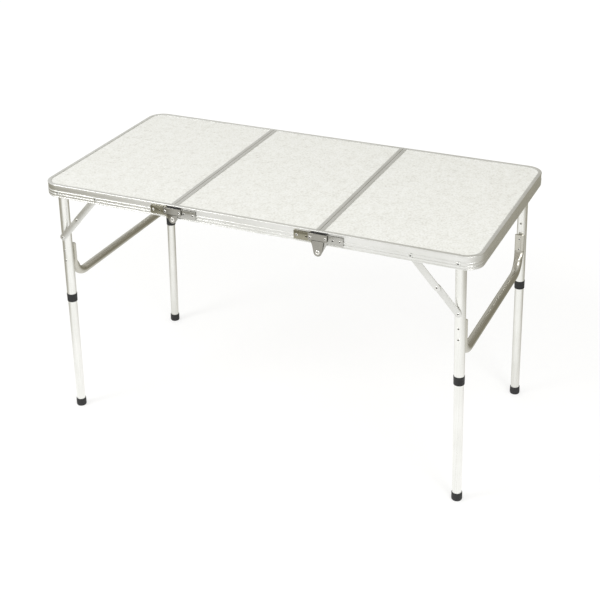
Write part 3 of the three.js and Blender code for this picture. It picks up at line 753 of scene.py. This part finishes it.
def bump(material, surface, source, distance):
    """Adds relief of a depth in metres on top of the relief that is there."""
    node = material.node_tree.nodes.new("ShaderNodeBump")
    node.inputs["Distance"].default_value = distance
    node.inputs["Strength"].default_value = 1
    links = material.node_tree.links
    if surface.inputs["Normal"].is_linked:
        links.new(surface.inputs["Normal"].links[0].from_socket, node.inputs["Normal"])
    links.new(source, node.inputs["Height"])
    links.new(node.outputs["Normal"], surface.inputs["Normal"])


def metal(name, colour, roughness, grain, depth, contrast=0.06):
    """Metal with a grain that runs along the piece, and faint cloudy variation."""
    material, surface = shader(name, Metallic=1.0)
    lines = noise(material, 1, grain, 4, 0.65)
    clouds = noise(material, 14, EVEN, 3, 0.55)
    darker = tuple(c * (1 - contrast) for c in colour)
    lighter = tuple(min(1, c * (1 + contrast)) for c in colour)
    base = ramp(material, lines, [(0.3, darker), (0.5, colour), (0.72, lighter)])
    tone = ramp(material, clouds, [(0.3, (0.94, 0.94, 0.93)), (0.6, WHITE)])
    links = material.node_tree.links
    links.new(multiply(material, base, tone), surface.inputs["Base Color"])
    links.new(spread(material, lines, roughness - 0.05, roughness + 0.06), surface.inputs["Roughness"])
    bump(material, surface, lines, depth)
    return material


def laminate():
    """An off-white laminate with a fine pearly mottle under a soft gloss."""
    material, surface = shader("laminate", Coat_Weight=0.25, Coat_Roughness=0.12)
    nodes, links = material.node_tree.nodes, material.node_tree.links
    place = nodes.new("ShaderNodeTexCoord")
    flakes = nodes.new("ShaderNodeTexVoronoi")
    flakes.feature = "SMOOTH_F1"
    flakes.inputs["Scale"].default_value = 210
    flakes.inputs["Smoothness"].default_value = 0.4
    links.new(place.outputs["Object"], flakes.inputs["Vector"])
    pearl = ramp(material, flakes.outputs["Distance"], [
        (0.1, (0.9, 0.905, 0.885)), (0.45, (0.86, 0.865, 0.84)), (0.75, (0.77, 0.77, 0.74))])
    mist = noise(material, 55, EVEN, 5, 0.6)
    veil = ramp(material, mist, [(0.35, (0.93, 0.925, 0.91)), (0.5, (0.98, 0.98, 0.97)), (0.62, WHITE)])
    specks = noise(material, 900, EVEN, 2, 0.5)
    dust = ramp(material, specks, [(0.34, (0.93, 0.92, 0.89)), (0.42, WHITE)])
    colour = multiply(material, multiply(material, pearl, veil), dust)
    links.new(colour, surface.inputs["Base Color"])
    links.new(spread(material, mist, 0.26, 0.38), surface.inputs["Roughness"])
    bump(material, surface, specks, 0.00002)
    bump(material, surface, flakes.outputs["Distance"], 0.00003)
    return material


def backing():
    """The matt paper back of the board, with a faint fibre."""
    material, surface = shader("board_backing")
    fibre = noise(material, 320, (1, 0.25, 1), 5, 0.6)
    cloud = noise(material, 9, EVEN, 3, 0.5)
    base = ramp(material, fibre, [(0.3, (0.6, 0.585, 0.54)), (0.65, (0.7, 0.685, 0.64))])
    tone = ramp(material, cloud, [(0.3, (0.95, 0.94, 0.93)), (0.65, WHITE)])
    links = material.node_tree.links
    links.new(multiply(material, base, tone), surface.inputs["Base Color"])
    links.new(spread(material, fibre, 0.68, 0.82), surface.inputs["Roughness"])
    bump(material, surface, fibre, 0.00004)
    return material


def moulded(name, colour, roughness, grain=2600):
    """Black plastic or rubber with a fine moulded texture and dull scuffs. It also gives the near-black
    painted shade in rivet wells.
    """
    material, surface = shader(name, Specular_IOR_Level=0.35)
    leather = noise(material, grain, EVEN, 2, 0.5)
    scuffs = noise(material, 60, (1, 1, 0.4), 4, 0.6)
    lighter = tuple(1.35 * c + 0.004 for c in colour)
    base = ramp(material, scuffs, [(0.35, colour), (0.7, lighter)])
    links = material.node_tree.links
    links.new(base, surface.inputs["Base Color"])
    links.new(spread(material, scuffs, roughness - 0.06, roughness + 0.08), surface.inputs["Roughness"])
    bump(material, surface, leather, 0.00003)
    return material


def make_materials():
    """Every material of the table. Grains are in cycles a metre along x, y and z."""
    along_rail = (3, 60, 900)
    along_seam = (700, 3, 200)
    down_leg = (500, 500, 4)
    along_bar = (500, 4, 500)
    pressed = (300, 300, 300)
    fine = (900, 900, 900)
    return {
        "laminate": laminate(),
        "backing": backing(),
        "rail": metal("rail_aluminium", (0.78, 0.78, 0.76), 0.35, along_rail, 0.00002),
        "seam": metal("seam_aluminium", (0.74, 0.74, 0.72), 0.3, along_seam, 0.00002),
        "leg": metal("leg_aluminium", (0.87, 0.87, 0.845), 0.3, down_leg, 0.00001),
        # The cross bars' aluminium is darkened to olive grey: painted shade for bars that hang under the
        # table, a shaded copy of the legs' aluminium.
        "bar": metal("bar_aluminium_painted_shade", (0.54, 0.525, 0.47), 0.25, along_bar, 0.00001),
        "link": metal("plated_steel", (0.34, 0.33, 0.3), 0.22, pressed, 0.000008, 0.12),
        # Two copies of the leaves' plating: a lighter one, and a darker olive one that is a painted
        # reflection on the leaf on the -x side of each seam.
        "leaf": metal("plated_steel_lit_copy", (0.48, 0.475, 0.45), 0.26, pressed, 0.00001, 0.1),
        "shaded_copy_leaf": metal("plated_steel_painted_shade", (0.31, 0.295, 0.23), 0.24, pressed, 0.00001, 0.16),
        "rivet": metal("rivet_steel", (0.8, 0.79, 0.76), 0.24, fine, 0.000004),
        "stay": metal("stay_steel", (0.74, 0.74, 0.72), 0.42, pressed, 0.00001),
        # Near-black paint for rivet wells, the eyelet bore and the strip above the hinge bar: painted shade.
        "shaded_core": moulded("rivet_well_painted_shade", (0.008, 0.008, 0.008), 0.7, 1500),
        "plastic": moulded("black_plastic", (0.013, 0.0135, 0.0135), 0.45),
        "rubber": moulded("black_rubber", (0.02, 0.02, 0.0205), 0.62),
    }


# ---------------------------------------------------------------- the table

PAINT = make_materials()


def install(piece, node, body):
    """Puts a piece in the place of a CAD node."""
    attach(piece, body)
    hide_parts(node)


def fit_middle():
    materials = [PAINT["laminate"], PAINT["backing"]]
    piece = board(MIDDLE_LOW, MIDDLE_HIGH, 0).build("middle_board_panel", materials)
    install(piece, "middle_board", "middle_panel")
    for end, y in ENDS.items():
        piece = middle_rail().build(f"middle_{end}_rail_extrusion", [PAINT["rail"]], y=y)
        install(piece, f"middle_{end}_rail", "middle_panel")


def fit_panel(side, x):
    body = f"{side}_panel"
    materials = [PAINT["laminate"], PAINT["backing"]]
    corner = CORNER_RADIUS - (HALF_WIDTH - BOARD_HIGH.y)
    piece = board(BOARD_LOW, BOARD_HIGH, corner).build(f"{side}_board_panel", materials, x=x)
    install(piece, f"{side}_board", body)
    piece = end_rim().build(f"{side}_end_rim_extrusion", [PAINT["rail"]], x=x)
    install(piece, f"{side}_end_rim", body)
    piece = seam_rail().build(f"{side}_panel_seam_channel", [PAINT["seam"]], x=x)
    install(piece, f"{side}_panel_seam_rail", body)
    facing = Matrix.Translation((2 * SEAM_X, 0, 0)) @ Matrix.Diagonal((-1, 1, 1, 1))
    piece = seam_rail().build(f"middle_{side}_seam_channel", [PAINT["seam"]], facing, x=x)
    install(piece, f"middle_{side}_seam_rail", "middle_panel")


def fit_hinge(side, x, end, y):
    depth = hinge_pin_depth(side)
    place = Matrix.Translation((SEAM_X, -HALF_WIDTH, TOP))
    parts = (
        ("outer_leaf", outer_leaf(depth), f"{side}_panel"),
        ("middle_leaf", middle_leaf(depth), "middle_panel"),
        ("hinge_link", hinge_link(depth), f"{side}_hinge_links"),
    )
    for part, shape, body in parts:
        node = f"{side}_{end}_{part}"
        # The leaf on the -x side of each seam takes the darker copy of the plating, which is a painted
        # reflection.
        plating = "link" if part == "hinge_link" else "shaded_copy_leaf" if part == SHADED_COPY_LEAF[side] else "leaf"
        materials = [PAINT[plating], PAINT["shaded_core"], PAINT["rivet"]]
        piece = shape.build(f"{node}_pressing", materials, place, x, y)
        install(piece, node, body)


def fit_leg(side, x, end, y):
    place = leg_frame() @ Matrix.Translation((0, LEG_Y, 0))
    frame_body, extension = f"{side}_leg_frame", f"{side}_{end}_extension"
    tube = [PAINT["leg"], PAINT["shaded_core"], PAINT["rivet"]]
    parts = (
        ("upper_leg", upper_leg(), tube, frame_body, "tube_aluminium", None),
        ("lower_leg", lower_leg(), tube, extension, "tube_aluminium", None),
        ("leg_collar", collar(), [PAINT["plastic"]], f"{side}_{end}_collar", "black_plastic", None),
        ("leg_collet", collet(), [PAINT["plastic"]], frame_body, "black_plastic", None),
        ("foot", foot(), [PAINT["rubber"]], extension, "black_rubber", 0),
    )
    for part, shape, materials, body, slot, level in parts:
        node = f"{side}_{end}_{part}"
        piece = shape.build(f"{node}_fine", materials, place, x, y, level=level)
        install(piece, node, body)
    node = f"{side}_{end}_leg_rivet"
    place = Matrix.Translation((LEG_PIVOT.x, -HALF_WIDTH, LEG_PIVOT.z))
    piece = leg_rivet().build(f"{node}_fine", [PAINT["stay"], PAINT["shaded_core"]], place, x, y)
    install(piece, node, f"{side}_panel")


def fit_stays(side, x, end, y):
    leg_rivet_at = leg_frame() @ Vector((0, 0, -STAY["leg_rivet"]))
    reach = KNEE - STAY_PIVOT
    slope = Matrix.Rotation(math.atan2(-reach.z, reach.x), 4, "Y")
    materials = [PAINT["stay"], PAINT["shaded_core"], PAINT["rivet"]]
    parts = (("upper", upper_stay(reach.length), STAY_PIVOT),
             ("lower", lower_stay((leg_rivet_at - KNEE).length), KNEE))
    for part, shape, origin in parts:
        node = f"{side}_{end}_{part}_stay"
        place = Matrix.Translation((origin.x, -HALF_WIDTH, origin.z)) @ slope
        piece = shape.build(f"{node}_bar", materials, place, x, y)
        install(piece, node, f"{side}_{part}_stays")


def fit_cross_bar(side, x):
    materials = [PAINT["bar"], PAINT["shaded_core"], PAINT["rivet"]]
    piece = cross_bar().build(f"{side}_cross_bar_tube", materials, leg_frame(), x)
    install(piece, f"{side}_cross_bar", f"{side}_leg_frame")


fit_middle()
for side, x in SIDES.items():
    fit_panel(side, x)
    fit_cross_bar(side, x)
    for end, y in ENDS.items():
        fit_hinge(side, x, end, y)
        fit_leg(side, x, end, y)
        fit_stays(side, x, end, y)

# ---------------------------------------------------------------- studio

# The studio is in metres.

CAMERA = {
    "place": (1.2613, -2.7029, 1.9181),
    "azimuth": 24.85,
    "elevation": 28.12,
    "roll": -1.0,
    "lens": 72.44,
}
LIGHTS = {
    "left": {"place": (-2.4, -2.6, 2.9), "size": 1.6, "power": 54},
    "right": {"place": (2.8, -2.2, 2.7), "size": 1.6, "power": 46},
}
LIGHT_AIM = (0, 0, 0.5)
FLOOR_SIZE = 300
FLOOR_Z = -0.0004
FLOOR_GREY = (0.36, 0.36, 0.36)
FLOOR_GLOW = {"near": 0.645, "far": 0.72, "span": (1.0, 2.4)}
BACKDROP_RADIUS = 45
POOL = {
    "z": -0.0008,
    "centre_x": 0.35,
    "half_width": (1.0, 1.9),
    "back": (-0.3, 1.1),
    "dim": (0.37, 0.352, 0.285),
    "lit": (1.1, 1.1, 1.085),
}
SKY = {"right": (0.36, 0.34, 0.28), "left": (0.84, 0.84, 0.82), "front": (0.92, 0.92, 0.91)}
SKY_SLOPE = (0.5, 0.8, 0)
SKY_SPAN = (0.88, -0.9)
SKY_LEFT_AT = 0.36


def make_camera():
    data = bpy.data.cameras.new("camera")
    data.lens = CAMERA["lens"]
    camera = bpy.data.objects.new("camera", data)
    tilt = math.radians(90 - CAMERA["elevation"])
    camera.matrix_world = (
        Matrix.Translation(CAMERA["place"])
        @ Matrix.Rotation(math.radians(CAMERA["azimuth"]), 4, "Z")
        @ Matrix.Rotation(tilt, 4, "X")
        @ Matrix.Rotation(math.radians(CAMERA["roll"]), 4, "Z"))
    bpy.context.scene.collection.objects.link(camera)
    bpy.context.scene.camera = camera


def make_lights():
    aim = Vector(LIGHT_AIM)
    for name, light in LIGHTS.items():
        data = bpy.data.lights.new(name, "AREA")
        data.shape = "DISK"
        data.size = light["size"]
        data.energy = light["power"]
        lamp = bpy.data.objects.new(name, data)
        lamp.location = light["place"]
        lamp.rotation_euler = (aim - lamp.location).to_track_quat("-Z", "Y").to_euler()
        bpy.context.scene.collection.objects.link(lamp)


def stage_piece(name, points, faces, material):
    mesh = bpy.data.meshes.new(name)
    mesh.from_pydata(points, [], faces)
    mesh.materials.append(material)
    piece = bpy.data.objects.new(name, mesh)
    bpy.context.scene.collection.objects.link(piece)
    return piece


def floor_square(name, material, z):
    half = FLOOR_SIZE / 2
    corners = [(-half, -half, z), (half, -half, z), (half, half, z), (-half, half, z)]
    return stage_piece(name, corners, [(0, 1, 2, 3)], material)


def glow(name):
    """A stage material that only shines."""
    material = bpy.data.materials.new(name)
    material.use_nodes = True
    nodes, links = material.node_tree.nodes, material.node_tree.links
    nodes.remove(nodes["Principled BSDF"])
    shine = nodes.new("ShaderNodeEmission")
    links.new(shine.outputs["Emission"], nodes["Material Output"].inputs["Surface"])
    return material, shine


def maths(material, operation, *values):
    """A shader sum over numbers and sockets."""
    node = material.node_tree.nodes.new("ShaderNodeMath")
    node.operation = operation
    for socket, value in zip(node.inputs, values):
        if isinstance(value, bpy.types.NodeSocket):
            material.node_tree.links.new(value, socket)
        else:
            socket.default_value = value
    return node.outputs["Value"]


def make_floor():
    """A white sweep with faint shadows near the table, which the metal doesn't mirror."""
    near, far = FLOOR_GLOW["near"], FLOOR_GLOW["far"]
    material, surface = shader("floor", Roughness=0.9, Base_Color=(*FLOOR_GREY, 1),
                               Emission_Color=(*WHITE, 1))
    nodes, links = material.node_tree.nodes, material.node_tree.links
    place = nodes.new("ShaderNodeTexCoord")
    distance = nodes.new("ShaderNodeVectorMath")
    distance.operation = "LENGTH"
    links.new(place.outputs["Object"], distance.inputs[0])
    share = falloff(material, distance.outputs["Value"], FLOOR_GLOW["span"])
    strength = maths(material, "MULTIPLY_ADD", share, near - far, far)
    links.new(strength, surface.inputs["Emission Strength"])
    floor = floor_square("floor", material, FLOOR_Z)
    floor.visible_glossy = False


def make_light_pool():
    """What the metal mirrors below the horizon: the floor's lit pool, dimmer to the sides and back."""
    material, shine = glow("light_pool")
    nodes, links = material.node_tree.nodes, material.node_tree.links
    place = nodes.new("ShaderNodeTexCoord")
    split = nodes.new("ShaderNodeSeparateXYZ")
    links.new(place.outputs["Object"], split.inputs["Vector"])
    distance = maths(material, "ABSOLUTE", maths(material, "SUBTRACT", split.outputs["X"], POOL["centre_x"]))
    beside = falloff(material, distance, POOL["half_width"])
    behind = falloff(material, split.outputs["Y"], POOL["back"])
    share = maths(material, "MULTIPLY", beside, behind)
    level = nodes.new("ShaderNodeMix")
    level.data_type = "RGBA"
    level.inputs["A"].default_value = (*POOL["dim"], 1)
    level.inputs["B"].default_value = (*POOL["lit"], 1)
    links.new(share, level.inputs["Factor"])
    links.new(level.outputs["Result"], shine.inputs["Color"])
    pool = floor_square("light_pool", material, POOL["z"])
    pool.visible_camera = False
    pool.visible_diffuse = False
    pool.visible_shadow = False


def make_backdrop():
    """A plain white dome that only the camera sees."""
    material, shine = glow("backdrop")
    shine.inputs["Strength"].default_value = 1.0
    ball = bmesh.new()
    bmesh.ops.create_uvsphere(ball, u_segments=48, v_segments=24, radius=BACKDROP_RADIUS)
    mesh = bpy.data.meshes.new("backdrop")
    ball.to_mesh(mesh)
    ball.free()
    mesh.materials.append(material)
    dome = bpy.data.objects.new("backdrop", mesh)
    bpy.context.scene.collection.objects.link(dome)
    dome.visible_diffuse = False
    dome.visible_glossy = False
    dome.visible_transmission = False
    dome.visible_shadow = False


def make_world():
    """Soft light all round, dimmer behind the table on its right."""
    world = bpy.data.worlds.new("studio")
    bpy.context.scene.world = world
    world.use_nodes = True
    nodes, links = world.node_tree.nodes, world.node_tree.links
    place = nodes.new("ShaderNodeTexCoord")
    slope = nodes.new("ShaderNodeVectorMath")
    slope.operation = "DOT_PRODUCT"
    slope.inputs[1].default_value = SKY_SLOPE
    links.new(place.outputs["Generated"], slope.inputs[0])
    step = map_range(world, slope.outputs["Value"], SKY_SPAN, (0, 1))
    sky = ramp(world, step, [(0, SKY["right"]), (SKY_LEFT_AT, SKY["left"]), (1, SKY["front"])])
    links.new(sky, nodes["Background"].inputs["Color"])


make_camera()
make_lights()
make_floor()
make_light_pool()
make_backdrop()
make_world()
bpy.context.scene.view_settings.view_transform = "Standard"
